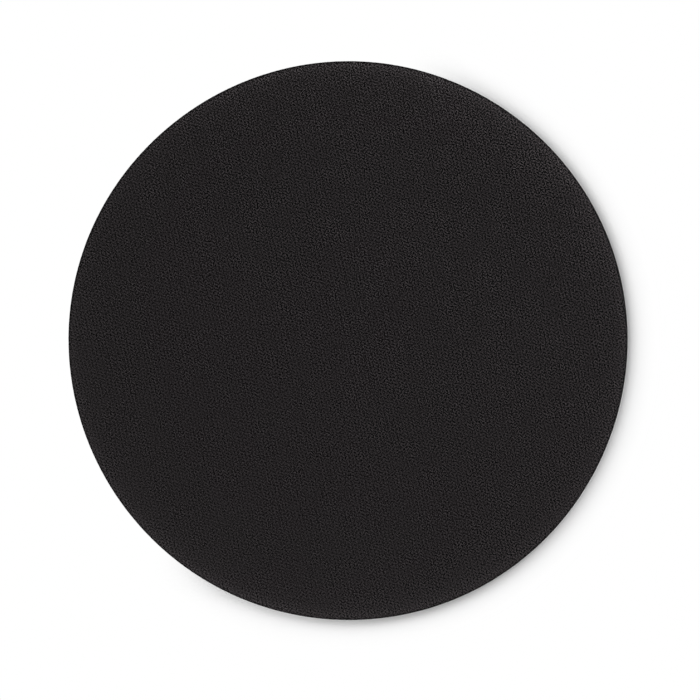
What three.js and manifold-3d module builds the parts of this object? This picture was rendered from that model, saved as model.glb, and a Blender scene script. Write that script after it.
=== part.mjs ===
// Round cloth-top mouse pad, in millimetres, with +Z up and the origin at the centre of its underside.
//
// The pad is a laminate. A knitted face cloth is glued by a thin film to a sheet of foam rubber, and a round die
// cuts all three out of the web at once. The blade pinches the layers on its way through, so the top rolls down
// towards the rim, and the cut wall of the foam springs back a little hollow. The underside carries the
// embossed anti-slip tread: square lands parted by V-grooves that cross on the diagonal. The tread belongs to
// the web, so its grooves run out through the cut wall wherever the die happened to meet them.

import * as THREE from "three";
import { mergeVertices } from "three/addons/utils/BufferGeometryUtils.js";
import Module from "manifold-3d";

// The die and the laminate
const padDiameter = 200;
const rubberThickness = 2.4;
const filmThickness = 0.1;
const clothThickness = 0.5;

// The rim that the blade leaves
const pinchWidth = 2.4;
const pinchDepth = 0.25;
const clothEdgeRadius = 0.3;
const wallHollow = 0.2;

// The tread in the underside
const groovePitch = 7;
const grooveWidth = 1.3;
const grooveDepth = 0.45;
const treadTurn = Math.PI / 4;

// How far a cutting shape runs past the faces that it cuts
const overrun = 1;

// Facets
const rimSegments = 96;
const pinchSteps = 3;
const wallSteps = 6;
const clothEdgeSteps = 3;

// Heights and the radius that follow from the sizes above
const padRadius = padDiameter / 2;
const filmTop = rubberThickness + filmThickness;
const clothTop = filmTop + clothThickness;

// A layer that the blade has pinched lies this much lower than it does in the middle of the pad. The drop
// follows a parabola, which starts level at the inner edge of the pinched band.
function rimDrop(radius) {
  const bandShare = Math.max(0, 1 - (padRadius - radius) / pinchWidth);
  return pinchDepth * bandShare ** 2;
}

// Outline points of a face between two layers, from the axis out to a radius in the pinched band.
function layerFace(height, outerRadius) {
  const points = [new THREE.Vector2(0, height)];
  const innerRadius = padRadius - pinchWidth;
  for (let step = 0; step <= pinchSteps; step += 1) {
    const radius = THREE.MathUtils.lerp(innerRadius, outerRadius, step / pinchSteps);
    points.push(new THREE.Vector2(radius, height - rimDrop(radius)));
  }
  return points;
}

// Keeps only the places of a mesh, joins the points that coincide, and leaves out the triangles that closing
// on the axis has flattened to a line.
function closedMesh(geometry) {
  const bare = geometry.clone();
  bare.deleteAttribute("normal");
  bare.deleteAttribute("uv");
  const merged = mergeVertices(bare);
  const corners = merged.index.array;
  const kept = [];
  for (let first = 0; first < corners.length; first += 3) {
    const [a, b, c] = corners.slice(first, first + 3);
    if (a !== b && b !== c && c !== a) {
      kept.push(a, b, c);
    }
  }
  merged.setIndex(kept);
  return merged;
}

// Turns an outline about the pad's axis. The outline starts and ends on the axis, and runs out along the lower
// face, up the rim and back along the upper face.
function turned(outline) {
  const lathed = new THREE.LatheGeometry(outline, rimSegments);
  return closedMesh(lathed.rotateX(Math.PI / 2));
}

function toSolid(wasm, geometry) {
  const vertProperties = new Float32Array(geometry.attributes.position.array);
  const triVerts = new Uint32Array(geometry.index.array);
  return new wasm.Manifold(new wasm.Mesh({ numProp: 3, vertProperties, triVerts }));
}

function toGeometry(solid) {
  const mesh = solid.getMesh();
  const geometry = new THREE.BufferGeometry();
  geometry.setAttribute("position", new THREE.BufferAttribute(mesh.vertProperties, mesh.numProp));
  geometry.setIndex(new THREE.BufferAttribute(mesh.triVerts, 1));
  return geometry;
}

// The face cloth: its lower face follows the film, and its cut upper edge is rounded over by the blade.
function faceClothGeometry() {
  const outline = layerFace(filmTop, padRadius);
  const upper = layerFace(clothTop, padRadius - clothEdgeRadius);
  const shoulder = upper[upper.length - 1];
  for (let step = 0; step < clothEdgeSteps; step += 1) {
    const angle = (step / clothEdgeSteps) * (Math.PI / 2);
    const across = shoulder.x + clothEdgeRadius * Math.cos(angle);
    const height = shoulder.y - clothEdgeRadius * (1 - Math.sin(angle));
    outline.push(new THREE.Vector2(across, height));
  }
  return turned(outline.concat(upper.reverse()));
}

// The adhesive film: an even skin between the two layers that it joins, cut flush with them.
function adhesiveFilmGeometry() {
  const lower = layerFace(rubberThickness, padRadius);
  const upper = layerFace(filmTop, padRadius);
  return turned(lower.concat(upper.reverse()));
}

// One V-groove along the Y axis at a distance from the pad's centre. Its section is a triangle whose flanks pass
// through the groove's edges at the underside and meet at its depth, and it is cut past the rim at both ends.
function grooveGeometry(offset) {
  const mouthHalf = (grooveWidth / 2) * (1 + overrun / grooveDepth);
  const section = new THREE.Shape();
  section.moveTo(-mouthHalf, -overrun);
  section.lineTo(mouthHalf, -overrun);
  section.lineTo(0, grooveDepth);
  section.closePath();
  const length = 2 * (Math.sqrt(padRadius ** 2 - offset ** 2) + grooveWidth + overrun);
  const groove = new THREE.ExtrudeGeometry(section, { depth: length, bevelEnabled: false });
  groove.translate(0, 0, -length / 2);
  groove.rotateX(Math.PI / 2);
  groove.translate(offset, 0, 0);
  return groove;
}

// The rubber base: a disc with a hollow cut wall, less two families of parallel grooves that cross at a right
// angle. The grooves lie half a pitch to each side of the centre, so one whole land is centred on the origin.
function rubberBaseGeometry(wasm) {
  const upper = layerFace(rubberThickness, padRadius);
  const wallHeight = rubberThickness - rimDrop(padRadius);
  const outline = [new THREE.Vector2(0, 0)];
  for (let step = 0; step < wallSteps; step += 1) {
    const heightShare = step / wallSteps;
    const hollow = 4 * wallHollow * heightShare * (1 - heightShare);
    outline.push(new THREE.Vector2(padRadius - hollow, heightShare * wallHeight));
  }
  let base = toSolid(wasm, turned(outline.concat(upper.reverse())));
  const grooveReach = padRadius - grooveWidth / 2;
  for (const quarter of [0, Math.PI / 2]) {
    for (let offset = groovePitch / 2; offset < grooveReach; offset += groovePitch) {
      for (const side of [-offset, offset]) {
        const groove = grooveGeometry(side).rotateZ(treadTurn + quarter);
        base = base.subtract(toSolid(wasm, closedMesh(groove)));
      }
    }
  }
  return toGeometry(base);
}

// Black polyester knit: matt, slightly warm.
function knitMaterial() {
  return new THREE.MeshStandardMaterial({ color: "#242223", roughness: 0.95, metalness: 0 });
}

// Hot-melt adhesive: a dark translucent film, a little glossier than what it joins.
function adhesiveMaterial() {
  return new THREE.MeshStandardMaterial({ color: "#2e2b29", roughness: 0.5, metalness: 0 });
}

// Black foam rubber with the dull skin that the embossing plate leaves.
function rubberMaterial() {
  return new THREE.MeshStandardMaterial({ color: "#1c1c1d", roughness: 0.85, metalness: 0 });
}

function piece(name, geometry, material) {
  const mesh = new THREE.Mesh(geometry, material);
  mesh.name = name;
  return mesh;
}

const wasm = await Module();
wasm.setup();

const mousePad = new THREE.Group();
mousePad.name = "mouse_pad";
mousePad.add(piece("rubber_base", rubberBaseGeometry(wasm), rubberMaterial()));
mousePad.add(piece("adhesive_film", adhesiveFilmGeometry(), adhesiveMaterial()));
mousePad.add(piece("face_cloth", faceClothGeometry(), knitMaterial()));

export default mousePad;
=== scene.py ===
"""A plain round cloth-top mouse pad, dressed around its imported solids.

The pad is a laminate: a knitted face cloth, a thin film of hot-melt adhesive and a sheet of foam rubber,
cut out of one web by a round die. Lengths are in metres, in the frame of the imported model: +Z is up, the
origin is the centre of the underside, and +X and +Y are the right and the top of the photograph.
"""

import logging
import math
from collections.abc import Callable
from dataclasses import dataclass, field
from enum import Enum

import bpy
import numpy as np
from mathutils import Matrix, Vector
from mathutils.geometry import delaunay_2d_cdt


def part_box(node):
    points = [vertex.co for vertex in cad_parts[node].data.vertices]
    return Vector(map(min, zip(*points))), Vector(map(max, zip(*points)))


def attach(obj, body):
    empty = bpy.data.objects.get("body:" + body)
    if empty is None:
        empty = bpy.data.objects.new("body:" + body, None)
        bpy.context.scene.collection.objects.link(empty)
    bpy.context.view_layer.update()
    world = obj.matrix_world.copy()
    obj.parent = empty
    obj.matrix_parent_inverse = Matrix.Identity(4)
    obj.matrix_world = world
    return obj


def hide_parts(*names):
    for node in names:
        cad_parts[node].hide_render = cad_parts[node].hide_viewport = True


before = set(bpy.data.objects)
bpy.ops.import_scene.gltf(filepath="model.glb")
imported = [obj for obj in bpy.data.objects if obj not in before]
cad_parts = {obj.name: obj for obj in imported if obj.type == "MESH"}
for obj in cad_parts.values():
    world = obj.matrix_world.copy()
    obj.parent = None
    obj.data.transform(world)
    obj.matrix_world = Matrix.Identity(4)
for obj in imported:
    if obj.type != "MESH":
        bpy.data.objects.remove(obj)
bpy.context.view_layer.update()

MM = 0.001

# The photograph's frame, and where the pad lies in it
PHOTO_PX = 700
PAD_CENTRE_PX = (348.2, 340.6)
PAD_WIDTH_PX = 559.1

# The least and the greatest value that a noise texture usually gives, and its middle value
NOISE_RANGE = (0.3, 0.7)
NOISE_MIDDLE = 0.5

LOG = logging.getLogger("mouse_pad")

Tree = bpy.types.NodeTree
Socket = bpy.types.NodeSocket


class Layer(Enum):
    """The layers of the laminate, each named as its CAD node."""

    CLOTH = "face_cloth"
    FILM = "adhesive_film"
    RUBBER = "rubber_base"


class Facing(Enum):
    """Which way a flat mesh block faces."""

    UP = 1
    DOWN = -1


def linear(hex_code: str) -> tuple[float, float, float, float]:
    """Turns an sRGB hex colour such as "242223" into linear red, green, blue and an alpha of 1.

    Args:
        hex_code: six hex digits.

    Returns:
        The four channels that a colour socket takes.
    """
    channels = [int(hex_code[place:place + 2], 16) / 255 for place in (0, 2, 4)]
    red, green, blue = (c / 12.92 if c <= 0.04045 else ((c + 0.055) / 1.055) ** 2.4 for c in channels)
    return red, green, blue, 1.0


def add_node(
    tree: Tree,
    kind: str,
    settings: dict[str, object] | None = None,
    inputs: dict[str | int, object] | None = None,
) -> bpy.types.Node:
    """Adds one shader node with its settings, values and links.

    Args:
        tree: the node tree that gets the node.
        kind: the node's type, such as "ShaderNodeBump".
        settings: properties of the node itself.
        inputs: for each input socket, by name or number, a value, or the output socket that feeds it.

    Returns:
        The new node.
    """
    made = tree.nodes.new(kind)
    for name, value in (settings or {}).items():
        setattr(made, name, value)
    for socket, value in (inputs or {}).items():
        if isinstance(value, Socket):
            tree.links.new(value, made.inputs[socket])
        else:
            made.inputs[socket].default_value = value
    return made


def new_material(name: str) -> bpy.types.Material:
    """Makes an empty node material.

    Args:
        name: the material's name.

    Returns:
        The new material.
    """
    material = bpy.data.materials.new(name)
    material.use_nodes = True
    material.node_tree.nodes.clear()
    return material


def toward(heading: float, unit: float = 1.0) -> tuple[float, float, float]:
    """The level vector towards a heading in degrees. A place dotted with it is counted in this unit."""
    turn = math.radians(heading)
    return math.cos(turn) / unit, math.sin(turn) / unit, 0.0


def ripple(place: np.ndarray, wavelength: float, seed: int) -> np.ndarray:
    """A smooth irregular wave: the sum of plane waves that cross a line in random directions.

    Args:
        place: places along the line.
        wavelength: the plane waves' usual length, in the same unit.
        seed: which wave of its kind.

    Returns:
        Values of about -1 to 1 at those places.
    """
    random = np.random.default_rng(seed)
    total = np.zeros(len(place))
    waves = 9
    shortest, spread = 0.7, 0.8
    for heading, phase, stretch in random.uniform(0, 1, (waves, 3)):
        count = 2 * np.pi / (wavelength * (shortest + spread * stretch))
        total += np.sin(count * place * np.cos(2 * np.pi * heading) + 2 * np.pi * phase)
    standard_deviation = math.sqrt(waves / 2)
    return total / standard_deviation / 2


@dataclass(frozen=True)
class Lobe:
    """One wave in the outline of foam that has sprung back from the die.

    It swings out by `size` in `count` places round the rim, one of them towards `heading`, in degrees.
    """

    count: int
    size: float
    heading: float


@dataclass(frozen=True)
class DieCut:
    """The rim that the cutting die leaves in every layer of the laminate.

    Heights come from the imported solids. The blade pinches a band along the rim, in which every layer drops
    along a parabola, and the foam springs back a few hundredths of a millimetre out of round.
    """

    radius: float
    cloth_top: float
    film_top: float
    rubber_top: float
    pinch_depth: float
    pinch_width: float = 2.4 * MM
    facets: int = 1440
    lobes: tuple[Lobe, ...] = (
        Lobe(2, 0.05 * MM, 149),
        Lobe(3, 0.08 * MM, 50),
        Lobe(4, 0.05 * MM, 0),
        Lobe(5, 0.06 * MM, 17),
    )

    @classmethod
    def from_frame(cls) -> "DieCut":
        """Reads the laminate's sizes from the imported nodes.

        Returns:
            The cut for those sizes.
        """
        cloth_low, cloth_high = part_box(Layer.CLOTH.value)
        film_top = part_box(Layer.FILM.value)[1].z
        rubber_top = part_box(Layer.RUBBER.value)[1].z
        return cls(cloth_high.x, cloth_high.z, film_top, rubber_top, pinch_depth=film_top - cloth_low.z)

    def bearings(self) -> np.ndarray:
        """The angles of the rim's facets, counterclockwise from +X."""
        return np.arange(self.facets) * (2 * np.pi / self.facets)

    def edge_radius(self, bearing: np.ndarray) -> np.ndarray:
        """The cut edge's distance from the centre: the die's radius plus the lobes' cosines.

        Args:
            bearing: angles counterclockwise from +X.

        Returns:
            The distance at each of them.
        """
        reach = np.full(np.shape(bearing), self.radius)
        for lobe in self.lobes:
            reach = reach + lobe.size * np.cos(lobe.count * (bearing - math.radians(lobe.heading)))
        return reach

    def drop(self, x: np.ndarray, y: np.ndarray) -> np.ndarray:
        """How far the pinched layers lie below their height in the middle.

        Args:
            x: places along X.
            y: places along Y.

        Returns:
            The drop at each place.
        """
        inward = self.edge_radius(np.arctan2(y, x)) - np.hypot(x, y)
        band_share = np.clip(1 - inward / self.pinch_width, 0, 1)
        return self.pinch_depth * band_share**2

    def ring(self, inset: float | np.ndarray) -> tuple[np.ndarray, np.ndarray]:
        """Places all round the rim, a little way in from the cut edge.

        Args:
            inset: how far in from the edge, for all facets or for each.

        Returns:
            The ring's X and Y places, one for each facet.
        """
        bearing = self.bearings()
        reach = self.edge_radius(bearing) - inset
        return reach * np.cos(bearing), reach * np.sin(bearing)


@dataclass
class Shell:
    """Gathers the blocks of one closed mesh as whole arrays, and makes the piece from them."""

    points: list[np.ndarray] = field(default_factory=list)
    faces: list[np.ndarray] = field(default_factory=list)
    smooth: list[np.ndarray] = field(default_factory=list)
    creased: list[np.ndarray] = field(default_factory=list)
    count: int = 0

    def add_points(self, x: np.ndarray, y: np.ndarray, z: np.ndarray | float) -> np.ndarray:
        """Adds vertices.

        Args:
            x: their X places.
            y: their Y places.
            z: their heights, or one height for all.

        Returns:
            The new vertices' numbers.
        """
        block = np.column_stack([np.ravel(x), np.ravel(y), np.broadcast_to(np.ravel(z), np.size(x))])
        self.points.append(block)
        numbers = np.arange(self.count, self.count + len(block))
        self.count += len(block)
        return numbers

    def add_faces(self, corners: np.ndarray, smooth: bool = True) -> None:
        """Adds faces, given as rows of vertex numbers, counterclockwise seen from outside."""
        self.faces.append(corners)
        self.smooth.append(np.full(len(corners), smooth))

    def add_strip(self, first: np.ndarray, second: np.ndarray) -> None:
        """Joins two rings with quads, which face out where the second lies further along, up the wall."""
        self.add_faces(np.column_stack([first, np.roll(first, -1), np.roll(second, -1), second]))

    def add_cap(self, ring: np.ndarray, height: float, facing: Facing) -> None:
        """Closes a ring with a fan of triangles to a point on the pad's axis.

        Args:
            ring: the ring's vertex numbers, counterclockwise seen from above.
            height: the height of the point.
            facing: the side that the fan faces.
        """
        apex = np.repeat(self.add_points(np.zeros(1), np.zeros(1), height), len(ring))
        following = np.roll(ring, -1)
        if facing is Facing.UP:
            self.add_faces(np.column_stack([ring, following, apex]))
        else:
            self.add_faces(np.column_stack([following, ring, apex]))

    def crease(self, ring: np.ndarray) -> None:
        """Keeps the shading sharp along a closed ring of vertices."""
        self.creased.append(np.sort(np.column_stack([ring, np.roll(ring, -1)]), axis=1))

    def add_glued_face(self, die: DieCut, wall: np.ndarray, height: float, facing: Facing) -> int:
        """Closes a layer with the face that is glued to the next one, pinched along the rim.

        Args:
            die: the cut that the face ends at.
            wall: the last ring on the layer's side.
            height: the face's height in the middle.
            facing: whether it is the layer's top or its underside.

        Returns:
            How many vertices the face has.
        """
        before = self.count
        previous = wall
        for inset in (0.0, die.pinch_width / 2, die.pinch_width):
            ring_x, ring_y = die.ring(inset)
            ring = self.add_points(ring_x, ring_y, height - die.drop(ring_x, ring_y))
            if facing is Facing.UP:
                self.add_strip(previous, ring)
            else:
                self.add_strip(ring, previous)
            previous = ring
        self.add_cap(previous, height, facing)
        return self.count - before

    def to_piece(self, name: str, values: dict[str, np.ndarray]) -> bpy.types.Object:
        """Makes the finished object, at the origin, unturned and unscaled.

        Args:
            name: the piece's name.
            values: attributes of the vertices, which the materials read.

        Returns:
            The new object, linked to the scene.
        """
        mesh = bpy.data.meshes.new(name)
        points = np.concatenate(self.points)
        mesh.from_pydata(points, [], [row for block in self.faces for row in block.tolist()])
        for label, numbers in values.items():
            layer = mesh.attributes.new(label, "FLOAT", "POINT")
            layer.data.foreach_set("value", numbers.astype(np.float32))
        mesh.polygons.foreach_set("use_smooth", np.concatenate(self.smooth))
        if self.creased:
            edges = np.empty(2 * len(mesh.edges), dtype=np.int32)
            mesh.edges.foreach_get("vertices", edges)
            edges = np.sort(edges.reshape(-1, 2), axis=1)
            creases = np.concatenate(self.creased)
            weights = (self.count, 1)
            sharp = np.isin(edges @ weights, creases @ weights)
            layer = mesh.attributes.new("sharp_edge", "BOOLEAN", "EDGE")
            layer.data.foreach_set("value", sharp)
        mesh.validate()
        mesh.update()
        piece = bpy.data.objects.new(name, mesh)
        bpy.context.scene.collection.objects.link(piece)
        return piece


@dataclass
class Lattice:
    """A sheet of quads on two families of lines, trimmed to the round rim.

    Quads that lie wholly inside the rim are kept. The ragged band between them and the rim's ring is filled
    with triangles, so the sheet ends in one vertex for each facet of the rim.

    `locate` gives the column and row of the quad at any place, to drop the triangles that the fill puts on
    the kept quads. `kept` tells which quads are inside the rim.
    """

    x: np.ndarray
    y: np.ndarray
    locate: Callable[[np.ndarray, np.ndarray], tuple[np.ndarray, np.ndarray]]
    facing: Facing
    smooth: bool = True
    kept: np.ndarray | None = None

    def trim(self, die: DieCut, margin: float) -> None:
        """Keeps the quads whose corners all lie at least a margin inside the cut edge."""
        inside = np.hypot(self.x, self.y) < die.edge_radius(np.arctan2(self.y, self.x)) - margin
        self.kept = inside[:-1, :-1] & inside[1:, :-1] & inside[1:, 1:] & inside[:-1, 1:]

    def corner_numbers(self) -> np.ndarray:
        """Lists the kept quads.

        Returns:
            The flat numbers of each one's corners, counterclockwise seen from above.
        """
        flat = np.arange(self.x.size).reshape(self.x.shape)
        quads = np.stack([flat[:-1, :-1], flat[1:, :-1], flat[1:, 1:], flat[:-1, 1:]], axis=-1)
        return quads[self.kept]

    def border_edges(self) -> np.ndarray:
        """Lists the edges that have a kept quad on one side only.

        Returns:
            The flat numbers of each one's ends.
        """
        flat = np.arange(self.x.size).reshape(self.x.shape)
        rows = np.pad(self.kept, ((0, 0), (1, 1)))
        along_columns = rows[:, 1:] != rows[:, :-1]
        columns = np.pad(self.kept, ((1, 1), (0, 0)))
        along_rows = columns[1:, :] != columns[:-1, :]
        first = np.stack([flat[:-1, :], flat[1:, :]], axis=-1)[along_columns]
        second = np.stack([flat[:, :-1], flat[:, 1:]], axis=-1)[along_rows]
        return np.concatenate([first, second])

    def fill_band(self, border: np.ndarray, ring_x: np.ndarray, ring_y: np.ndarray) -> np.ndarray:
        """Fills the band between the kept quads and the ring with triangles.

        Args:
            border: the border edges.
            ring_x: the ring's X places.
            ring_y: the ring's Y places.

        Returns:
            Rows of three numbers: flat numbers of the lattice, and past its size the ring's.
        """
        used, local = np.unique(border, return_inverse=True)
        local = local.reshape(border.shape)
        plan = np.column_stack([
            np.concatenate([self.x.ravel()[used], ring_x]),
            np.concatenate([self.y.ravel()[used], ring_y]),
        ])
        around = len(used) + np.arange(len(ring_x))
        fixed = np.concatenate([local, np.column_stack([around, np.roll(around, -1)])])
        scaled = (plan / MM).tolist()
        inside_borders, tolerance = 1, 1e-7
        _, _, found, origins, _, _ = delaunay_2d_cdt(scaled, fixed.tolist(), [], inside_borders, tolerance)
        corners = np.array(origins)[:, 0][np.array(found)]
        middle = plan[corners].mean(axis=1)
        column, row = self.locate(middle[:, 0], middle[:, 1])
        column = np.clip(column, 0, self.kept.shape[0] - 1)
        row = np.clip(row, 0, self.kept.shape[1] - 1)
        corners = corners[~self.kept[column, row]]
        a, b, c = (plan[corners[:, k]] for k in range(3))
        turning = (b[:, 0] - a[:, 0]) * (c[:, 1] - a[:, 1]) - (b[:, 1] - a[:, 1]) * (c[:, 0] - a[:, 0])
        corners = np.where(turning[:, None] > 0, corners, corners[:, ::-1])
        names = np.concatenate([used, self.x.size + np.arange(len(ring_x))])
        return names[corners]

    def add_to(
        self,
        shell: Shell,
        height: np.ndarray,
        ring: tuple[np.ndarray, np.ndarray, np.ndarray],
    ) -> tuple[np.ndarray, np.ndarray]:
        """Adds the trimmed sheet to a shell.

        Args:
            shell: the mesh that gets it.
            height: the height of every place of the lattice.
            ring: the rim ring's X places, Y places and heights.

        Returns:
            The numbers of the ring's vertices, and the flat numbers of the lattice places that were used.
        """
        quads = self.corner_numbers()
        band = self.fill_band(self.border_edges(), ring[0], ring[1])
        used = np.unique(quads)
        lookup = np.full(self.x.size + len(ring[0]), -1)
        lookup[used] = shell.add_points(self.x.ravel()[used], self.y.ravel()[used], height.ravel()[used])
        around = shell.add_points(*ring)
        lookup[self.x.size:] = around
        order = slice(None) if self.facing is Facing.UP else slice(None, None, -1)
        shell.add_faces(lookup[quads][:, order], self.smooth)
        shell.add_faces(lookup[band][:, order], self.smooth)
        return around, used


@dataclass(frozen=True)
class Knit:
    """The face cloth's stitches: wales of V-shaped loops, with a slanted gap beside each leg.

    The real stitches are finer. They are drawn as coarse as the photograph shows them, which is one wale in
    about 7 of its pixels and one course in 3.6.

    Attributes:
        wale: the width of a column of loops.
        course: the height of a row of loops.
        turn: how far the cloth is turned counterclockwise, in radians.
        wale_columns: how many of the mesh's columns one wale has.
        course_rows: how many of its rows one course has.
        spare_columns: how many columns are laid beyond the rim on each side.
        spare_rows: how many rows are laid beyond it.
        lean: how many courses a leg climbs from the foot of its V.
        stagger: how many courses the gaps of the right legs are shifted against those of the left ones.
        depth: the depth of the gaps in the relief.
        gap_depth: how deep a gap is on average, 0 to 1.
        left_swing: how far that depth swings along a left leg.
        right_swing: how far it swings along a right leg.
        gap_spread: the power that widens the gaps.
        pressed: what heat-pressing has taken off the loft.
        knot: how much higher the yarn stands at the foot of a V.
        uneven: how much the loft varies at random.
        seed: which random loft.
    """

    wale: float = 2.474 * MM
    course: float = 1.288 * MM
    turn: float = math.radians(13.3)
    wale_columns: int = 4
    course_rows: int = 2
    spare_columns: int = 2
    spare_rows: int = 4
    lean: float = 0.74
    stagger: float = 0.5
    depth: float = 0.1 * MM
    gap_depth: float = 0.46
    left_swing: float = 0.5
    right_swing: float = 0.33
    gap_spread: float = 0.79
    pressed: float = 0.15
    knot: float = 0.2
    uneven: float = 0.05
    seed: int = 11

    def plan(self, reach: float) -> tuple[np.ndarray, np.ndarray, np.ndarray, np.ndarray]:
        """Lays the mesh's columns along the wales and its rows along the courses, bent into the loops' Vs.

        Args:
            reach: the radius that the lattice has to cover.

        Returns:
            X places, Y places, the column numbers and the row numbers, all as grids.
        """
        column_width = self.wale / self.wale_columns
        columns = math.ceil(reach / column_width) + self.spare_columns
        rows = math.ceil(reach / (self.course / self.course_rows)) + self.spare_rows
        ranges = (np.arange(-count, count + 1) for count in (columns, rows))
        column, row = np.meshgrid(*ranges, indexing="ij")
        across = column * column_width
        up = (row / self.course_rows + self.lean * self.slant(column / self.wale_columns)) * self.course
        cos, sin = math.cos(self.turn), math.sin(self.turn)
        return across * cos - up * sin, across * sin + up * cos, column, row

    @staticmethod
    def slant(wales: np.ndarray) -> np.ndarray:
        """A zigzag across the wales: 1 between two wales and 0 in the middle of each."""
        return np.abs(2 * (wales - np.floor(wales)) - 1)

    def thread(self, x: np.ndarray, y: np.ndarray) -> tuple[np.ndarray, np.ndarray]:
        """Turns places into wales and courses.

        Args:
            x: places along X.
            y: places along Y.

        Returns:
            The wales across, and the courses along, counted by the bent rows.
        """
        cos, sin = math.cos(self.turn), math.sin(self.turn)
        wales = (x * cos + y * sin) / self.wale
        courses = (-x * sin + y * cos) / self.course - self.lean * self.slant(wales)
        return wales, courses

    def gap(self, x: np.ndarray, y: np.ndarray) -> np.ndarray:
        """How deep in a gap each place lies, from 0 on the yarn to about 1.

        A gap is the sine across a leg's column, to a power that widens it, times a depth that swings along
        the leg with the cosine of the courses, further on the left legs.

        Args:
            x: places along X.
            y: places along Y.

        Returns:
            The depth at each place.
        """
        wales, courses = self.thread(x, y)
        across = np.sin(2 * np.pi * wales)
        right = across < 0
        swing = np.where(right, self.right_swing, self.left_swing)
        climb = np.cos(2 * np.pi * (courses + self.stagger * right))
        return np.abs(across) ** self.gap_spread * (self.gap_depth - swing * climb)

    def loft(self, x: np.ndarray, y: np.ndarray, random: np.random.Generator) -> np.ndarray:
        """How high the yarn stands, about 1, if it had no gaps.

        Heat-pressing has taken a little off it, and a knot of yarn stands at the foot of each V. What one
        stitch has too much of, textured yarn takes from the stitches beside it, so the random part is what
        each place has more than its neighbours.

        Args:
            x: places along X, as a row or a grid in which neighbours are neighbours on the cloth.
            y: places along Y.
            random: where the unevenness comes from.

        Returns:
            The loft at those places.
        """
        wales, courses = self.thread(x, y)
        foot = np.clip(-np.cos(2 * np.pi * wales), 0, 1) * np.cos(2 * np.pi * courses)
        free = random.standard_normal(np.shape(x))
        beside = [np.roll(free, step, axis) for axis in range(free.ndim) for step in (-1, 1)]
        return 1 - self.pressed + self.knot * foot + self.uneven * (free - np.mean(beside, axis=0))

    def sunk(self, x: np.ndarray, y: np.ndarray, loft: np.ndarray) -> np.ndarray:
        """How far the relief lies below a yarn of full loft, given the loft at each place."""
        return self.depth * np.clip(1 - loft + self.gap(x, y), 0, 1)


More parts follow.
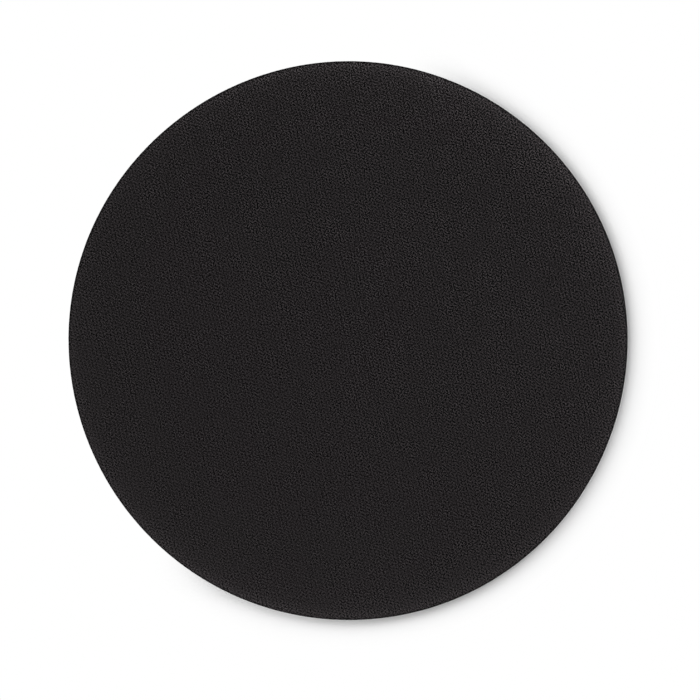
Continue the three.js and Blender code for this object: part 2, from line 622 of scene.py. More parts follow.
@dataclass(frozen=True)
class KnitFinish:
    """Polyester face knit, dyed black and heat-pressed: matt, and speckled by its textured yarn.

    A place's tone is the yarn's loft less the gap, plus the glint of its tuft, so raised yarn is painted
    paler and the gaps are painted dark as shade. The contrast swings that tone about `pivot`, and the tone
    to the power `fall` is the yarn's share in the colour. A painted sheen makes the cloth paler along the
    rim, most towards two sides, and painted light makes it paler towards one side. Headings are in degrees.

    Attributes:
        gap: the colour where the yarn's share is 0, the painted shade deep in a gap.
        yarn: the colour where its share is 1.
        tuft: the width of a tuft of filaments. Real ones are finer, and drawn as coarse as a pixel shows.
        scatter: how irregularly the tufts lie, 0 to 1.
        speckle: how much a tuft's glint adds to the tone.
        glint_power: how steeply the glint rises to the middle of a tuft.
        usual_glint: the glint's mean, which is taken off again.
        waver: how far the stitches are shifted sideways at most.
        waver_length: how long the waves of those shifts are.
        contrast: the least and the greatest contrast, which varies from patch to patch.
        pivot: the tone that the contrast leaves alone.
        patch: the width of the patches.
        raked: how much the contrast rises from the centre to the rim, as painted raking light.
        raked_heading: the side that it rises towards.
        fall: the power that the tone is raised to, which darkens the middle tones.
        yarn_ends: the tones of the cut yarn ends on the side, the darkest and the palest.
        painted_rim_sheen: the painted sheen's rise along the rim is this length over the distance to the
            cut.
        rim_most: the greatest rise of the painted sheen along the rim.
        rim_side: how much more of that sheen there is towards painted_light_heading.
        rim_pair: how much more of it there is towards two opposite sides.
        pair_heading: one of those two sides.
        painted_side_light: how much paler the painted light makes the cloth towards one side.
        painted_light_heading: the side that the painted light makes paler.
        cloud: the width of the soft clouds in the cloth's tone.
        cloudiness: the tones of the clouds, the darkest and the palest.
        detail: how many finer noises the patches and the clouds have.
        bump: how strongly the tufts stand up.
        bump_depth: how far they stand up.
        roughness: the roughness of the yarn.
        gloss: the strength of its highlight.
    """

    # The gap colour is painted shade deep in the gaps between the yarns.
    gap: str = "030303"
    yarn: str = "312e2f"
    tuft: float = 0.45 * MM
    scatter: float = 0.85
    speckle: float = 2.3
    glint_power: float = 3.1
    usual_glint: float = 0.244
    waver: float = 0.12 * MM
    waver_length: float = 4.0 * MM
    contrast: tuple[float, float] = (0.5, 0.88)
    pivot: float = 0.75
    patch: float = 6 * MM
    raked: float = 0.28
    raked_heading: float = 57
    fall: float = 1.9
    yarn_ends: tuple[float, float] = (0.53, 0.87)
    # Painted sheen along the rim, and painted light towards one side.
    painted_rim_sheen: float = 1.0 * MM
    rim_most: float = 0.6
    rim_side: float = 0.3
    rim_pair: float = 0.35
    pair_heading: float = 66
    painted_side_light: float = 0.08
    painted_light_heading: float = 0
    cloud: float = 40 * MM
    cloudiness: tuple[float, float] = (0.98, 1.02)
    detail: float = 1.0
    bump: float = 0.4
    bump_depth: float = 0.05 * MM
    roughness: float = 0.9
    gloss: float = 0.03

    def material(self, die: DieCut, knit: Knit) -> bpy.types.Material:
        """The gaps are painted darker than the yarn as shade, and the tufts of its filaments speckle it,
        more in some patches.

        The cut side shows the yarns' ends as upright streaks.

        Args:
            die: the cut that the painted sheen and light follow.
            knit: the stitches that the gaps follow.

        Returns:
            The new material.
        """
        material = new_material("black_polyester_knit")
        tree = material.node_tree
        place = add_node(tree, "ShaderNodeTexCoord").outputs["Object"]
        wales, courses = self.thread(tree, self.wavering(tree, place), knit)
        loft = add_node(tree, "ShaderNodeAttribute", {"attribute_name": "loft"}).outputs["Fac"]
        gap = self.gaps(tree, wales, courses, knit)
        drawn = add_node(tree, "ShaderNodeMath", {"operation": "SUBTRACT"}, {0: loft, 1: gap}).outputs[0]
        beside = add_node(
            tree,
            "ShaderNodeTexVoronoi",
            {"voronoi_dimensions": "2D"},
            {"Vector": place, "Scale": 1 / self.tuft, "Randomness": self.scatter},
        ).outputs["Distance"]
        tuft = add_node(tree, "ShaderNodeMath", {"operation": "SUBTRACT"}, {0: 1.0, 1: beside}).outputs[0]
        glint = add_node(
            tree,
            "ShaderNodeMath",
            {"operation": "POWER"},
            {0: tuft, 1: self.glint_power},
        ).outputs[0]
        speck = add_node(
            tree,
            "ShaderNodeMath",
            {"operation": "MULTIPLY_ADD"},
            {0: glint, 1: self.speckle, 2: -self.usual_glint * self.speckle - self.pivot},
        ).outputs[0]
        both = add_node(tree, "ShaderNodeMath", {"operation": "ADD"}, {0: drawn, 1: speck}).outputs[0]
        contrast = self.patches(tree, place, die)
        swung = add_node(
            tree,
            "ShaderNodeMath",
            {"operation": "MULTIPLY_ADD"},
            {0: both, 1: contrast, 2: self.pivot},
        ).outputs[0]
        least, most = self.yarn_ends
        ends = add_node(
            tree,
            "ShaderNodeMath",
            {"operation": "MULTIPLY_ADD"},
            {0: glint, 1: most - least, 2: least},
        ).outputs[0]
        cut = add_node(tree, "ShaderNodeAttribute", {"attribute_name": "cut"}).outputs["Fac"]
        shown = add_node(
            tree,
            "ShaderNodeMix",
            {"data_type": "FLOAT"},
            {0: cut, 2: swung, 3: ends},
        ).outputs[0]
        tone = add_node(tree, "ShaderNodeMath", {"operation": "MAXIMUM"}, {0: shown, 1: 0.0}).outputs[0]
        share = add_node(tree, "ShaderNodeMath", {"operation": "POWER"}, {0: tone, 1: self.fall}).outputs[0]
        yarn = add_node(
            tree,
            "ShaderNodeMix",
            {"data_type": "RGBA", "clamp_factor": False},
            {0: share, 6: linear(self.gap), 7: linear(self.yarn)},
        ).outputs[2]
        # The tone scales in the painted sheen and the painted light.
        color = add_node(
            tree,
            "ShaderNodeVectorMath",
            {"operation": "SCALE"},
            {0: yarn, "Scale": self.cloud_and_painted_sheen(tree, place, die)},
        ).outputs[0]
        bump = add_node(
            tree,
            "ShaderNodeBump",
            inputs={"Strength": self.bump, "Distance": self.bump_depth, "Height": tuft},
        ).outputs["Normal"]
        shader = add_node(
            tree,
            "ShaderNodeBsdfPrincipled",
            inputs={
                "Base Color": color,
                "Roughness": self.roughness,
                "Specular IOR Level": self.gloss,
                "Normal": bump,
            },
        )
        add_node(tree, "ShaderNodeOutputMaterial", inputs={"Surface": shader.outputs["BSDF"]})
        return material

    def patches(self, tree: Tree, place: Socket, die: DieCut) -> Socket:
        """Adds the nodes for how strongly the stitches and tufts stand out.

        It varies softly from patch to patch, and rises evenly towards one side as painted raking light.

        Args:
            tree: the material's nodes.
            place: the socket with the place on the cloth.
            die: the cut whose radius counts.

        Returns:
            The socket with the contrast.
        """
        noise = add_node(
            tree,
            "ShaderNodeTexNoise",
            inputs={"Vector": place, "Scale": 1 / self.patch, "Detail": self.detail},
        ).outputs["Fac"]
        lowest, highest = NOISE_RANGE
        least, most = self.contrast
        soft = add_node(
            tree,
            "ShaderNodeMapRange",
            inputs={
                "Value": noise,
                "From Min": lowest,
                "From Max": highest,
                "To Min": least,
                "To Max": most,
            },
        ).outputs["Result"]
        sideways = add_node(
            tree,
            "ShaderNodeVectorMath",
            {"operation": "DOT_PRODUCT"},
            {0: place, 1: toward(self.raked_heading, die.radius)},
        ).outputs["Value"]
        # Painted raking light: the contrast rises towards one side.
        rise = add_node(
            tree,
            "ShaderNodeMath",
            {"operation": "MULTIPLY_ADD"},
            {0: sideways, 1: self.raked, 2: 1.0},
        ).outputs[0]
        return add_node(tree, "ShaderNodeMath", {"operation": "MULTIPLY"}, {0: soft, 1: rise}).outputs[0]

    def wavering(self, tree: Tree, place: Socket) -> Socket:
        """Adds the nodes that shift places sideways by a soft noise, as heat-pressing shifts the stitches.

        Args:
            tree: the material's nodes.
            place: the socket with the place on the cloth.

        Returns:
            The socket with the shifted place.
        """
        noise = add_node(
            tree,
            "ShaderNodeTexNoise",
            {"noise_dimensions": "2D"},
            {"Vector": place, "Scale": 1 / self.waver_length, "Detail": 0.0},
        ).outputs["Color"]
        centred = add_node(
            tree,
            "ShaderNodeVectorMath",
            {"operation": "SUBTRACT"},
            {0: noise, 1: (NOISE_MIDDLE, NOISE_MIDDLE, NOISE_MIDDLE)},
        ).outputs[0]
        push = self.waver / NOISE_MIDDLE
        return add_node(
            tree,
            "ShaderNodeVectorMath",
            {"operation": "MULTIPLY_ADD"},
            {0: centred, 1: (push, push, 0.0), 2: place},
        ).outputs[0]

    def thread(self, tree: Tree, place: Socket, knit: Knit) -> tuple[Socket, Socket]:
        """Adds the nodes that turn places into wales across and bent courses along, as `Knit.thread` does.

        Args:
            tree: the material's nodes.
            place: the socket with the place on the cloth.
            knit: the stitches' sizes.

        Returns:
            The sockets with the wales and the courses.
        """
        cos, sin = math.cos(knit.turn), math.sin(knit.turn)
        across = (cos / knit.wale, sin / knit.wale, 0.0)
        up = (-sin / knit.course, cos / knit.course, 0.0)
        wales, rows = (
            add_node(
                tree,
                "ShaderNodeVectorMath",
                {"operation": "DOT_PRODUCT"},
                {0: place, 1: step},
            ).outputs["Value"]
            for step in (across, up)
        )
        half_wale = 0.5
        bend = add_node(
            tree,
            "ShaderNodeMath",
            {"operation": "PINGPONG"},
            {0: wales, 1: half_wale},
        ).outputs[0]
        courses = add_node(
            tree,
            "ShaderNodeMath",
            {"operation": "MULTIPLY_ADD"},
            {0: bend, 1: 2 * knit.lean, 2: rows},
        ).outputs[0]
        return wales, courses

    def gaps(self, tree: Tree, wales: Socket, courses: Socket, knit: Knit) -> Socket:
        """Adds the nodes that draw the gaps, darkened as painted shade, by the formula of `Knit.gap`, finer
        than the mesh can.

        Args:
            tree: the material's nodes.
            wales: the socket with the wales across.
            courses: the socket with the bent courses.
            knit: the stitches' sizes.

        Returns:
            The socket with the depth of the gap, from 0 on the yarn.
        """
        turns = add_node(
            tree,
            "ShaderNodeMath",
            {"operation": "MULTIPLY"},
            {0: wales, 1: math.tau},
        ).outputs[0]
        wave = add_node(tree, "ShaderNodeMath", {"operation": "SINE"}, {0: turns}).outputs[0]
        right = add_node(tree, "ShaderNodeMath", {"operation": "LESS_THAN"}, {0: wave, 1: 0.0}).outputs[0]
        width = add_node(tree, "ShaderNodeMath", {"operation": "ABSOLUTE"}, {0: wave}).outputs[0]
        column = add_node(
            tree,
            "ShaderNodeMath",
            {"operation": "POWER"},
            {0: width, 1: knit.gap_spread},
        ).outputs[0]
        shifted = add_node(
            tree,
            "ShaderNodeMath",
            {"operation": "MULTIPLY_ADD"},
            {0: right, 1: knit.stagger, 2: courses},
        ).outputs[0]
        climb = add_node(
            tree,
            "ShaderNodeMath",
            {"operation": "MULTIPLY"},
            {0: shifted, 1: math.tau},
        ).outputs[0]
        swing = add_node(tree, "ShaderNodeMath", {"operation": "COSINE"}, {0: climb}).outputs[0]
        less = add_node(
            tree,
            "ShaderNodeMath",
            {"operation": "MULTIPLY_ADD"},
            {0: right, 1: knit.left_swing - knit.right_swing, 2: -knit.left_swing},
        ).outputs[0]
        depth = add_node(
            tree,
            "ShaderNodeMath",
            {"operation": "MULTIPLY_ADD"},
            {0: swing, 1: less, 2: knit.gap_depth},
        ).outputs[0]
        return add_node(tree, "ShaderNodeMath", {"operation": "MULTIPLY"}, {0: column, 1: depth}).outputs[0]

    def cloud_and_painted_sheen(self, tree: Tree, place: Socket, die: DieCut) -> Socket:
        """Adds the nodes for the cloth's tone, which is about 1.

        It is a soft cloudy variation, plus painted light that rises towards one side, plus a painted sheen
        along the rim that goes with one over the distance to the cut. The sheen at the rim swings with the
        bearing's cosine, and with the cosine of twice the bearing.

        Args:
            tree: the material's nodes.
            place: the socket with the place on the cloth.
            die: the cut whose radius counts.

        Returns:
            The socket with the tone.
        """
        noise = add_node(
            tree,
            "ShaderNodeTexNoise",
            inputs={"Vector": place, "Scale": 1 / self.cloud, "Detail": self.detail},
        ).outputs["Fac"]
        lowest, highest = NOISE_RANGE
        least, most = self.cloudiness
        cloudy = add_node(
            tree,
            "ShaderNodeMapRange",
            inputs={
                "Value": noise,
                "From Min": lowest,
                "From Max": highest,
                "To Min": least,
                "To Max": most,
            },
        ).outputs["Result"]
        bearing = add_node(
            tree,
            "ShaderNodeVectorMath",
            {"operation": "NORMALIZE"},
            {0: place},
        ).outputs["Vector"]
        sideways = add_node(
            tree,
            "ShaderNodeVectorMath",
            {"operation": "DOT_PRODUCT"},
            {0: place, 1: toward(self.painted_light_heading, die.radius)},
        ).outputs["Value"]
        pairwise = add_node(
            tree,
            "ShaderNodeVectorMath",
            {"operation": "DOT_PRODUCT"},
            {0: bearing, 1: toward(self.pair_heading)},
        ).outputs["Value"]
        away = add_node(tree, "ShaderNodeVectorMath", {"operation": "LENGTH"}, {0: place}).outputs["Value"]
        inward = add_node(
            tree,
            "ShaderNodeMath",
            {"operation": "SUBTRACT"},
            {0: die.radius, 1: away},
        ).outputs[0]
        near = add_node(
            tree,
            "ShaderNodeMath",
            {"operation": "MAXIMUM"},
            {0: inward, 1: self.painted_rim_sheen / self.rim_most},
        ).outputs[0]
        # Painted sheen along the rim, rising as one over the distance to the cut.
        rise = add_node(
            tree,
            "ShaderNodeMath",
            {"operation": "DIVIDE"},
            {0: self.painted_rim_sheen, 1: near},
        ).outputs[0]
        square = add_node(
            tree,
            "ShaderNodeMath",
            {"operation": "MULTIPLY"},
            {0: pairwise, 1: pairwise},
        ).outputs[0]
        twice = add_node(
            tree,
            "ShaderNodeMath",
            {"operation": "MULTIPLY_ADD"},
            {0: square, 1: 2 * self.rim_pair, 2: 1 - self.rim_pair},
        ).outputs[0]
        once = add_node(
            tree,
            "ShaderNodeMath",
            {"operation": "MULTIPLY_ADD"},
            {0: sideways, 1: self.rim_side, 2: twice},
        ).outputs[0]
        with_painted_sheen = add_node(
            tree,
            "ShaderNodeMath",
            {"operation": "MULTIPLY_ADD"},
            {0: rise, 1: once, 2: cloudy},
        ).outputs[0]
        # Painted light towards one side.
        return add_node(
            tree,
            "ShaderNodeMath",
            {"operation": "MULTIPLY_ADD"},
            {0: sideways, 1: self.painted_side_light, 2: with_painted_sheen},
        ).outputs[0]


@dataclass(frozen=True)
class HotMeltFinish:
    """Hot-melt adhesive film: a dark satin line between the two matt layers.

    `streak` is the length of the marks where the blade has dragged it, which go from the first to the
    second roughness.
    """

    body: str = "2e2b29"
    streak: float = 1.5 * MM
    streak_detail: float = 2.0
    roughness: tuple[float, float] = (0.35, 0.65)
    refraction: float = 1.48

    def material(self) -> bpy.types.Material:
        """A film a tenth of a millimetre thick, a little uneven in gloss where the blade has dragged it.

        Returns:
            The new material.
        """
        material = new_material("hot_melt_film")
        tree = material.node_tree
        place = add_node(tree, "ShaderNodeTexCoord").outputs["Object"]
        drag = add_node(
            tree,
            "ShaderNodeTexNoise",
            inputs={"Vector": place, "Scale": 1 / self.streak, "Detail": self.streak_detail},
        ).outputs["Fac"]
        glossiest, dullest = self.roughness
        gloss = add_node(
            tree,
            "ShaderNodeMapRange",
            inputs={"Value": drag, "To Min": glossiest, "To Max": dullest},
        ).outputs["Result"]
        shader = add_node(
            tree,
            "ShaderNodeBsdfPrincipled",
            inputs={"Base Color": linear(self.body), "Roughness": gloss, "IOR": self.refraction},
        )
        add_node(tree, "ShaderNodeOutputMaterial", inputs={"Surface": shader.outputs["BSDF"]})
        return material


@dataclass(frozen=True)
class FoamRubberFinish:
    """Black foam rubber: a dull pressed skin below, and open cells where the blade has cut it.

    Painted shade darkens each open cell's sunk middle: a cell goes from the first to the second of its tones
    on the way from its middle to its wall, which lies `cell_reach` cells away.
    """

    skin: str = "1c1c1d"
    cut: str = "232324"
    cell: float = 0.35 * MM
    cell_reach: float = 0.7
    painted_pit_shades: tuple[float, float] = (0.55, 1.15)
    bump: float = 0.6
    bump_depth: float = 0.08 * MM
    roughness: float = 0.85
    refraction: float = 1.52

    def material(self) -> bpy.types.Material:
        """The cut wall is a shade greyer than the skin, because its torn cells scatter light.

        Returns:
            The new material.
        """
        material = new_material("black_foam_rubber")
        tree = material.node_tree
        place = add_node(tree, "ShaderNodeTexCoord").outputs["Object"]
        cut = add_node(tree, "ShaderNodeAttribute", {"attribute_name": "cut"}).outputs["Fac"]
        cells = add_node(
            tree,
            "ShaderNodeTexVoronoi",
            inputs={"Vector": place, "Scale": 1 / self.cell},
        ).outputs["Distance"]
        base = add_node(
            tree,
            "ShaderNodeMix",
            {"data_type": "RGBA"},
            {0: cut, 6: linear(self.skin), 7: linear(self.cut)},
        ).outputs[2]
        # Painted shade in the cells' sunk middles, paler towards their walls.
        middle, wall = self.painted_pit_shades
        pit = add_node(
            tree,
            "ShaderNodeMapRange",
            inputs={"Value": cells, "From Max": self.cell_reach, "To Min": middle, "To Max": wall},
        ).outputs["Result"]
        shade = add_node(tree, "ShaderNodeMix", {"data_type": "FLOAT"}, {0: cut, 2: 1.0, 3: pit}).outputs[0]
        color = add_node(
            tree,
            "ShaderNodeVectorMath",
            {"operation": "SCALE"},
            {0: base, "Scale": shade},
        ).outputs[0]
        bump = add_node(
            tree,
            "ShaderNodeBump",
            inputs={"Strength": self.bump, "Distance": self.bump_depth, "Height": cells},
        ).outputs["Normal"]
        shader = add_node(
            tree,
            "ShaderNodeBsdfPrincipled",
            inputs={
                "Base Color": color,
                "Roughness": self.roughness,
                "Normal": bump,
                "IOR": self.refraction,
            },
        )
        add_node(tree, "ShaderNodeOutputMaterial", inputs={"Surface": shader.outputs["BSDF"]})
        return material


@dataclass
class FaceCloth:
    """The knitted face cloth, with its stitches as relief and its cut edge rolled over by the blade.

    Attributes:
        die: the cut that it ends at.
        knit: its stitches.
        finish: its look.
        roll: the radius of the rolled edge.
        pressed: how strong the painted shade on the rolled edge is, on its faintest and on its darkest side.
        painted_shade_heading: the side where that painted shade is darkest, in degrees.
        painted_shade_reach: how soon the painted shade is at its darkest towards that side.
        painted_edge_shades: how dark the painted shade makes each ring of the edge, down from the top's last
            one. More than 1
        takes off more loft than the yarn has, so the edge stays dark where the painted shade is fainter.
        fray: how far the fibres stand in or out.
        fray_seed: which random fibres.
    """

    die: DieCut
    knit: Knit = field(default_factory=Knit)
    finish: KnitFinish = field(default_factory=KnitFinish)
    roll: float = 0.3 * MM
    # The rolled edge is darkened by painted shade, darkest towards painted_shade_heading.
    pressed: tuple[float, float] = (0.65, 1.0)
    painted_shade_heading: float = 130
    painted_shade_reach: float = 1.5
    painted_edge_shades: tuple[float, ...] = (0.63, 1.4, 1.4, 1.2, 0.8)
    fray: float = 0.03 * MM
    fray_seed: int = 13

    def build(self) -> bpy.types.Object:
        """Makes the cloth: the knitted top, the rolled edge, the cut side and the glued underside.

        Returns:
            The piece.
        """
        die, knit = self.die, self.knit
        x, y, column, row = knit.plan(die.radius)

        def locate(place_x: np.ndarray, place_y: np.ndarray) -> tuple[np.ndarray, np.ndarray]:
            """The column and row of the quad that each place lies in."""
            wales, courses = knit.thread(place_x, place_y)
            return (
                np.floor(knit.wale_columns * wales).astype(int) - column[0, 0],
                np.floor(knit.course_rows * courses).astype(int) - row[0, 0],
            )

        sheet = Lattice(x, y, locate, Facing.UP)
        clearance = knit.course / 4
        sheet.trim(die, self.roll + clearance)
        shell = Shell()
        ring_x, ring_y = die.ring(self.roll)
        random = np.random.default_rng(knit.seed)
        loft = knit.loft(x, y, random)
        ring_loft = knit.loft(ring_x, ring_y, random)
        around, used = sheet.add_to(
            shell,
            self.surface(x, y, loft),
            (ring_x, ring_y, self.surface(ring_x, ring_y, ring_loft)),
        )
        # The top's last ring takes the first ring of painted edge shade.
        shown = np.concatenate([loft.ravel()[used], ring_loft * (1 - self.painted_edge_shades[0] * self.painted_shade_strength())])
        painted_edge_lofts, edge_cuts = self.add_edge(shell, around, ring_loft)
        values = {
            "loft": np.concatenate([shown, painted_edge_lofts]),
            "cut": np.concatenate([np.zeros(len(shown)), edge_cuts]),
        }
        piece = shell.to_piece("knitted_face_cloth", values)
        LOG.info("%s: %d faces, %d on the stitches", piece.name, len(piece.data.polygons), len(used))
        return piece

    def painted_shade_strength(self) -> np.ndarray:
        """How strong the painted shade on the edge is at each facet of the rim, at most 1.

        It rises from its least with the cosine from its darkest side, and is cut off at its most.

        Returns:
            The darkness, for all facets.
        """
        least, most = self.pressed
        facing = np.cos(self.die.bearings() - math.radians(self.painted_shade_heading))
        return least + (most - least) * np.clip(self.painted_shade_reach * facing, 0, 1)

    def surface(self, x: np.ndarray, y: np.ndarray, loft: np.ndarray) -> np.ndarray:
        """The top's height: the laminate's own, less how far the relief is sunk there."""
        return self.die.cloth_top - self.die.drop(x, y) - self.knit.sunk(x, y, loft)

    def add_edge(
        self,
        shell: Shell,
        around: np.ndarray,
        ring_loft: np.ndarray,
    ) -> tuple[np.ndarray, np.ndarray]:
        """Adds the rolled edge, the cut side and the underside.

        The edge is a quarter circle, turned down from the top's last ring, and its fibres are frayed by a
        few hundredths of a millimetre.

        Args:
            shell: the cloth's mesh.
            around: the numbers of the top's last ring.
            ring_loft: the yarn's loft along that ring.

        Returns:
            The loft at the new vertices, darkened by the painted edge shade, and how far each is on the cut
            side, 0 to 1.
        """
        die = self.die
        random = np.random.default_rng(self.fray_seed)
        low = die.film_top - die.pinch_depth
        shoulder = die.cloth_top - float(die.drop(np.array(die.radius - self.roll), np.array(0.0)))
        ring_x, ring_y = die.ring(self.roll)
        sunk = self.knit.sunk(ring_x, ring_y, ring_loft)
        lofts = []
        cuts = []
        above = around
        last = len(self.painted_edge_shades) - 1
        for step in range(1, last + 1):
            angle = step / last * (math.pi / 2)
            frayed = random.uniform(-1, 1, die.facets) * self.fray
            ring_x, ring_y = die.ring(self.roll * (1 - math.sin(angle)) + frayed)
            height = shoulder - self.roll * (1 - math.cos(angle)) - sunk * math.cos(angle)
            ring = shell.add_points(ring_x, ring_y, np.maximum(height, low + self.fray))
            shell.add_strip(ring, above)
            # Each ring of the rolled edge is darkened by its painted shade.
            lofts.append(ring_loft * (1 - self.painted_edge_shades[step] * self.painted_shade_strength()))
            cuts.append(np.full(die.facets, (step / last) ** 2))
            above = ring
        glued = shell.add_glued_face(die, above, die.film_top, Facing.DOWN)
        lofts.append(np.zeros(glued))
        cuts.append(np.ones(glued))
        return np.concatenate(lofts), np.concatenate(cuts)

    def dress(self, piece: bpy.types.Object) -> None:
        """Gives the cloth its finish, puts it on the root body and hides the imported cloth.

        Args:
            piece: the cloth.
        """
        piece.data.materials.append(self.finish.material(self.die, self.knit))
        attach(piece, "root")
        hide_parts(Layer.CLOTH.value)


@dataclass
class AdhesiveFilm:
    """The hot-melt film that joins the cloth to the rubber, and shows as a line in the cut edge."""

    die: DieCut
    finish: HotMeltFinish = field(default_factory=HotMeltFinish)
    drag: float = 0.03 * MM
    drag_length: float = 1.8 * MM
    seed: int = 23

    def build(self) -> bpy.types.Object:
        """Makes an even skin between the layers, its cut edge dragged in and out a little by the blade.

        Returns:
            The piece.
        """
        die = self.die
        shell = Shell()
        around = die.bearings() * die.radius
        dragged = self.drag * ripple(around, self.drag_length, self.seed)
        outline = []
        for base in (die.rubber_top, die.film_top):
            for inset in (die.pinch_width, die.pinch_width / 2, 0.0):
                ring_x, ring_y = die.ring(inset + (dragged if inset == 0 else 0))
                clean_x, clean_y = die.ring(inset)
                outline.append(shell.add_points(ring_x, ring_y, base - die.drop(clean_x, clean_y)))
        lower, upper = outline[:3], outline[3:][::-1]
        path = lower + upper
        for first, second in zip(path, path[1:]):
            shell.add_strip(first, second)
        shell.crease(lower[-1])
        shell.crease(upper[0])
        shell.add_cap(lower[0], die.rubber_top, Facing.DOWN)
        shell.add_cap(upper[-1], die.film_top, Facing.UP)
        piece = shell.to_piece("adhesive_line", {})
        LOG.info("%s: %d faces", piece.name, len(piece.data.polygons))
        return piece

    def dress(self, piece: bpy.types.Object) -> None:
        """Gives the film its finish.

        Args:
            piece: the film.
        """
        piece.data.materials.append(self.finish.material())
        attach(piece, "root")
        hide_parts(Layer.FILM.value)


@dataclass(frozen=True)
class Tread:
    """The embossed underside: square lands on the diagonal, parted by V-grooves and set with flat studs.

    `studs` is how many a land has along each side, and `stud_flank` the part of their pitch that each flank
    takes.
    """

    pitch: float = 7 * MM
    groove: float = 1.3 * MM
    groove_depth: float = 0.45 * MM
    stud_depth: float = 0.15 * MM
    studs: int = 3
    stud_flank: float = 0.3
    turn: float = math.pi / 4

    def lines(self, reach: float) -> np.ndarray:
        """Lays one family of mesh lines, on the edges and bottoms of the grooves and of the studs' valleys.

        Args:
            reach: the distance that the lines have to cover.

        Returns:
            The places of the lines, in order.
        """
        land = self.pitch - self.groove
        one_stud = np.array([0.0, self.stud_flank, 1 - self.stud_flank])
        shares = (np.arange(self.studs)[:, None] + one_stud).ravel()
        within = (np.append(shares, self.studs) / self.studs - 0.5) * land
        one_pitch = np.append(within, self.pitch / 2)
        copies = math.ceil(reach / self.pitch) + 1
        return np.sort((np.arange(-copies, copies + 1)[:, None] * self.pitch + one_pitch).ravel())

    def profile(self, place: np.ndarray) -> tuple[np.ndarray, np.ndarray]:
        """The emboss along one direction.

        Args:
            place: places across the grooves of that direction.

        Returns:
            The groove's depth at each place, and how far up a stud's flank it is, 0 to 1.
        """
        local = (place + self.pitch / 2) % self.pitch - self.pitch / 2
        from_groove = self.pitch / 2 - np.abs(local)
        sunk = self.groove_depth * np.clip(1 - from_groove / (self.groove / 2), 0, 1)
        land = self.pitch - self.groove
        share = (local + land / 2) / land * self.studs % 1
        climbed = np.clip(np.minimum(share, 1 - share) / self.stud_flank, 0, 1)
        return sunk, np.where(from_groove > self.groove / 2, climbed, 0)

    def height(self, x: np.ndarray, y: np.ndarray) -> np.ndarray:
        """The underside's height: the deepest of the two grooves there and of the valley between studs.

        Args:
            x: places along X.
            y: places along Y.

        Returns:
            The height at each place.
        """
        cos, sin = math.cos(self.turn), math.sin(self.turn)
        sunk_u, climbed_u = self.profile(x * cos + y * sin)
        sunk_v, climbed_v = self.profile(-x * sin + y * cos)
        land = self.stud_depth * (1 - np.minimum(climbed_u, climbed_v))
        return np.maximum(np.maximum(sunk_u, sunk_v), land)


@dataclass
class RubberBase:
    """The foam rubber base: its embossed skin below, and the hollow cut wall with its open cells."""

    die: DieCut
    tread: Tread = field(default_factory=Tread)
    finish: FoamRubberFinish = field(default_factory=FoamRubberFinish)
    wall_hollow: float = 0.2 * MM
    wall_rows: int = 7
    cell_depth: float = 0.07 * MM
    seed: int = 31

    def build(self) -> bpy.types.Object:
        """Makes the base: the tread below, the wall that the blade cut, and the glued top.

        Returns:
            The piece.
        """
        die, tread = self.die, self.tread
        lines = tread.lines(die.radius)
        u, v = np.meshgrid(lines, lines, indexing="ij")
        cos, sin = math.cos(tread.turn), math.sin(tread.turn)
        x, y = u * cos - v * sin, u * sin + v * cos

        def locate(place_x: np.ndarray, place_y: np.ndarray) -> tuple[np.ndarray, np.ndarray]:
            """The column and row of the quad that each place lies in."""
            return (
                np.searchsorted(lines, place_x * cos + place_y * sin, side="right") - 1,
                np.searchsorted(lines, -place_x * sin + place_y * cos, side="right") - 1,
            )

        sheet = Lattice(x, y, locate, Facing.DOWN, smooth=False)
        clearance = tread.groove / 8
        sheet.trim(die, clearance)
        shell = Shell()
        ring_x, ring_y = die.ring(0.0)
        foot = tread.height(ring_x, ring_y)
        around, used = sheet.add_to(shell, tread.height(x, y), (ring_x, ring_y, foot))
        self.add_wall(shell, around, foot)
        cut = np.repeat([0.0, 1.0], [len(used), shell.count - len(used)])
        piece = shell.to_piece("foam_rubber_base", {"cut": cut})
        LOG.info("%s: %d faces", piece.name, len(piece.data.polygons))
        return piece

    def add_wall(self, shell: Shell, around: np.ndarray, foot: np.ndarray) -> None:
        """Adds the cut wall and the top.

        The wall bows in along a parabola between its two edges, and torn cells pit it at random.

        Args:
            shell: the base's mesh.
            around: the numbers of the ring at the foot of the wall.
            foot: the heights along that ring.
        """
        die = self.die
        random = np.random.default_rng(self.seed)
        head = die.rubber_top - die.pinch_depth
        below = around
        for step in range(1, self.wall_rows):
            share = step / self.wall_rows
            pits = self.cell_depth * random.uniform(0, 1, die.facets) ** 2
            ring_x, ring_y = die.ring(4 * self.wall_hollow * share * (1 - share) + pits)
            ring = shell.add_points(ring_x, ring_y, foot + share * (head - foot))
            shell.add_strip(below, ring)
            below = ring
        shell.add_glued_face(die, below, die.rubber_top, Facing.UP)

    def dress(self, piece: bpy.types.Object) -> None:
        """Gives the base its finish, puts it on the root body and hides the imported base.

        Args:
            piece: the base.
        """
        piece.data.materials.append(self.finish.material())
        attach(piece, "root")
        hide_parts(Layer.RUBBER.value)


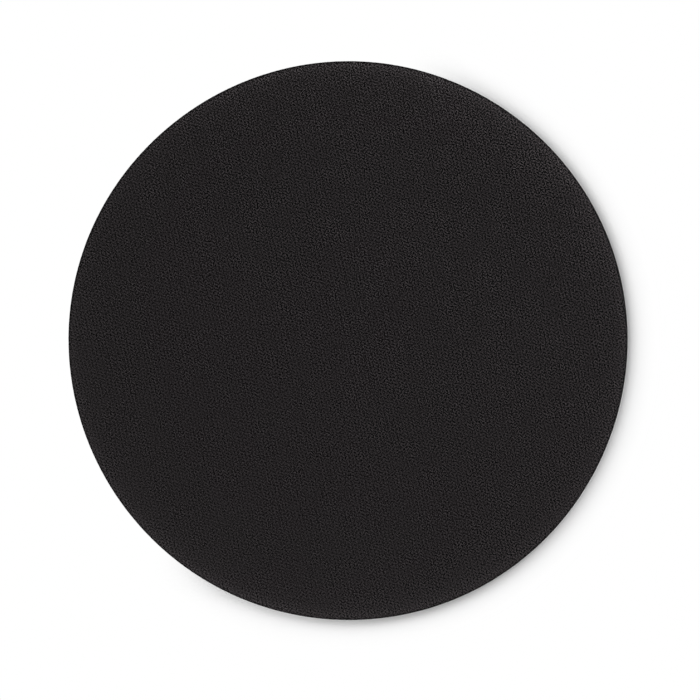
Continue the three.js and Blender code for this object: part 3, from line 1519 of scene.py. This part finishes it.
@dataclass(frozen=True)
class Softbox:
    """One studio lamp with a square diffuser, aimed at the pad.

    `share` is its part of the light that makes a white card on the floor white. `azimuth` is
    counterclockwise from +X, and both angles are in degrees.
    """

    name: str
    azimuth: float
    elevation: float
    share: float
    side: float = 1.6
    distance: float = 2.6

    def build(self) -> None:
        """Makes the lamp.

        A diffuser of power P lights a card that it faces at distance d with P / (pi d^2), and a white card
        sends back a pi-th of what reaches it, so the power is the share times pi^2 d^2 over the sine of the
        elevation.
        """
        up = math.radians(self.elevation)
        heading = math.radians(self.azimuth)
        outward = Vector((math.cos(up) * math.cos(heading), math.cos(up) * math.sin(heading), math.sin(up)))
        light = bpy.data.lights.new(self.name, "AREA")
        light.size = self.side
        light.energy = self.share * math.pi**2 * self.distance**2 / math.sin(up)
        lamp = bpy.data.objects.new(self.name, light)
        lamp.location = outward * self.distance
        lamp.rotation_mode = "QUATERNION"
        lamp.rotation_quaternion = outward.to_track_quat("Z", "Y")
        bpy.context.scene.collection.objects.link(lamp)


@dataclass
class Studio:
    """The white floor, the pale surroundings and the soft lamps.

    `lit_edge` is where the burnt-out white begins and where it is whole, towards `lit_heading` in degrees,
    and `shadow_end` is where the shadow begins to fade and where it is gone. Both are in radii of the pad.
    """

    die: DieCut
    paper: str = "fafafa"
    paper_roughness: float = 0.9
    floor_radius: float = 6.0
    floor_sides: int = 96
    dome_share: float = 0.02
    lit_heading: float = 153
    lit_edge: tuple[float, float] = (-0.05, 0.28)
    shadow_end: tuple[float, float] = (1.02, 1.12)
    lamps: tuple[Softbox, ...] = (
        Softbox("key", 158, 20, 0.20),
        Softbox("back", 120, 40, 0.19),
        Softbox("left", 180, 50, 0.21),
        Softbox("right", 45, 30, 0.205),
        Softbox("low_right", 60, 15, 0.075),
        Softbox("front", 270, 25, 0.165),
        Softbox("front_left", 240, 25, 0.11),
    )

    def build(self) -> None:
        """Makes the lamps, the surroundings and the floor."""
        for lamp in self.lamps:
            lamp.build()
        self.build_world()
        floor = self.build_floor()
        LOG.info("studio: %d lamps, floor %.1f m across", len(self.lamps), 2 * self.floor_radius)

    def build_world(self) -> None:
        """Pale surroundings that light the pad evenly, and are plain white where the camera sees them."""
        world = bpy.data.worlds.new("pale_room")
        bpy.context.scene.world = world
        world.use_nodes = True
        tree = world.node_tree
        tree.nodes.clear()
        seen = add_node(tree, "ShaderNodeLightPath").outputs["Is Camera Ray"]
        strength = add_node(
            tree,
            "ShaderNodeMix",
            {"data_type": "FLOAT"},
            {0: seen, 2: self.dome_share, 3: 1.0},
        ).outputs[0]
        surface = add_node(
            tree,
            "ShaderNodeBackground",
            inputs={"Color": linear("ffffff"), "Strength": strength},
        )
        add_node(tree, "ShaderNodeOutputWorld", inputs={"Surface": surface.outputs["Background"]})

    def build_floor(self) -> bpy.types.Object:
        """Makes a round sheet of white paper under the pad.

        Returns:
            The floor.
        """
        bearing = np.arange(self.floor_sides) * (2 * np.pi / self.floor_sides)
        inner_radius = self.floor_radius / 5
        shell = Shell()
        outer, inner = (
            shell.add_points(reach * np.cos(bearing), reach * np.sin(bearing), 0.0)
            for reach in (self.floor_radius, inner_radius)
        )
        shell.add_strip(outer, inner)
        shell.add_cap(inner, 0.0, Facing.UP)
        floor = shell.to_piece("white_floor", {})
        floor.data.materials.append(self.floor_material())
        return floor

    def floor_material(self) -> bpy.types.Material:
        """White paper that keeps the pad's shadow, and fades to plain white away from it.

        On the key lamps' side of the pad the photograph's floor is burnt out to white, so there the camera
        sees the paper lifted to white, and the shadow stays on the other side.

        Returns:
            The new material.
        """
        material = new_material("white_paper")
        tree = material.node_tree
        place = add_node(tree, "ShaderNodeTexCoord").outputs["Object"]
        sideways = add_node(
            tree,
            "ShaderNodeVectorMath",
            {"operation": "DOT_PRODUCT"},
            {0: place, 1: toward(self.lit_heading)},
        ).outputs["Value"]
        away = add_node(tree, "ShaderNodeVectorMath", {"operation": "LENGTH"}, {0: place}).outputs["Value"]
        lit_side, far = (
            add_node(
                tree,
                "ShaderNodeMapRange",
                {"interpolation_type": "SMOOTHSTEP"},
                {"Value": reach, "From Min": begins * self.die.radius, "From Max": ends * self.die.radius},
            ).outputs["Result"]
            for reach, (begins, ends) in ((sideways, self.lit_edge), (away, self.shadow_end))
        )
        white_part = add_node(
            tree,
            "ShaderNodeMath",
            {"operation": "MAXIMUM"},
            {0: lit_side, 1: far},
        ).outputs[0]
        seen = add_node(tree, "ShaderNodeLightPath").outputs["Is Camera Ray"]
        lift = add_node(
            tree,
            "ShaderNodeMath",
            {"operation": "MULTIPLY"},
            {0: white_part, 1: seen},
        ).outputs[0]
        paper = add_node(
            tree,
            "ShaderNodeBsdfPrincipled",
            inputs={
                "Base Color": linear(self.paper),
                "Roughness": self.paper_roughness,
                "Specular IOR Level": 0.0,
            },
        )
        white = add_node(tree, "ShaderNodeEmission", inputs={"Color": linear("ffffff"), "Strength": 1.0})
        mixed = add_node(
            tree,
            "ShaderNodeMixShader",
            inputs={0: lift, 1: paper.outputs["BSDF"], 2: white.outputs["Emission"]},
        )
        add_node(tree, "ShaderNodeOutputMaterial", inputs={"Surface": mixed.outputs["Shader"]})
        return material


@dataclass
class CopyCamera:
    """The camera straight above the pad, framed as the photograph is."""

    die: DieCut
    lens: float = 100.0
    sensor: float = 36.0

    def build(self) -> None:
        """Places the camera so that the pad's top has its width and place in the photograph."""
        metres_per_px = 2 * self.die.radius / PAD_WIDTH_PX
        distance = PHOTO_PX * metres_per_px * self.lens / self.sensor
        data = bpy.data.cameras.new("copy_camera")
        data.lens = self.lens
        data.sensor_width = self.sensor
        camera = bpy.data.objects.new("copy_camera", data)
        camera.location = (
            (PHOTO_PX / 2 - PAD_CENTRE_PX[0]) * metres_per_px,
            (PAD_CENTRE_PX[1] - PHOTO_PX / 2) * metres_per_px,
            self.die.cloth_top + distance,
        )
        bpy.context.scene.collection.objects.link(camera)
        bpy.context.scene.camera = camera
        LOG.info("camera: %.3f m above the cloth", distance)


def main() -> None:
    """Builds the pad from the rubber up, then the camera and the studio."""
    logging.basicConfig(level=logging.INFO, format="%(name)s: %(message)s")
    bpy.context.scene.view_settings.view_transform = "Standard"
    die = DieCut.from_frame()
    for layer in (RubberBase(die), AdhesiveFilm(die), FaceCloth(die)):
        layer.dress(layer.build())
    CopyCamera(die).build()
    Studio(die).build()


if __name__ == "__main__":
    main()
